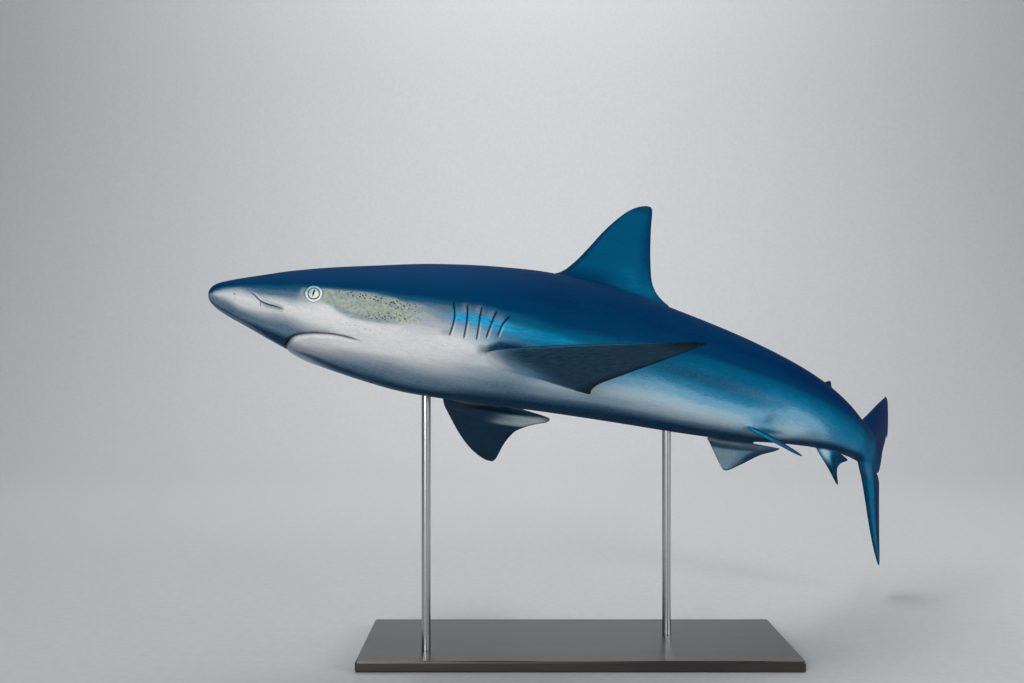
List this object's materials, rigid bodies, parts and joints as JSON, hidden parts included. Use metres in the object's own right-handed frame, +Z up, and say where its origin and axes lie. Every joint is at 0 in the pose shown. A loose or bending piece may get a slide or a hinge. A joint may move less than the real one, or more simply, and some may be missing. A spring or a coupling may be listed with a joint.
{
  "type": "galapagos shark model",
  "caption": "Life-size swimming shark, head raised and tail swept round to its right, held over a flat display base by slim rods.",
  "frame": {"origin": "centre of the underside of the display stand's base, close under the model's centre of mass", "axes": "+Z up; the head points towards -X and the animal's left side faces -Y; the tail bends round towards +Y"},
  "size_m": [1.6554, 1.521, 0.9235],
  "materials": {
    "skin_back": "satin painted skin, dark grey blue above",
    "skin_flank": "satin painted skin, slate to pale grey",
    "skin_belly": "satin painted skin, off-white",
    "eye": "clear wet gloss over a pale iris",
    "stand_base": "dark stained, satin lacquer",
    "stand_rod": "fine brushed"
  },
  "bodies": {
    "root": {"head": "skin_flank", "lower_jaw": "skin_belly", "gill_region": "skin_flank", "trunk_front": "skin_flank", "trunk_rear": "skin_flank", "tail_stock": "skin_flank", "caudal_upper_lobe": "skin_back", "caudal_lower_lobe": "skin_flank", "first_dorsal_fin": "skin_back", "second_dorsal_fin": "skin_back", "anal_fin": "skin_belly", "pectoral_fin_left": "skin_back", "pectoral_fin_right": "skin_back", "pelvic_fin_left": "skin_belly", "pelvic_fin_right": "skin_belly", "eye_left": "eye", "eye_right": "eye", "stand_base": "stand_base", "stand_rod_front": "stand_rod", "stand_rod_rear": "stand_rod"}
  },
  "joints": []
}
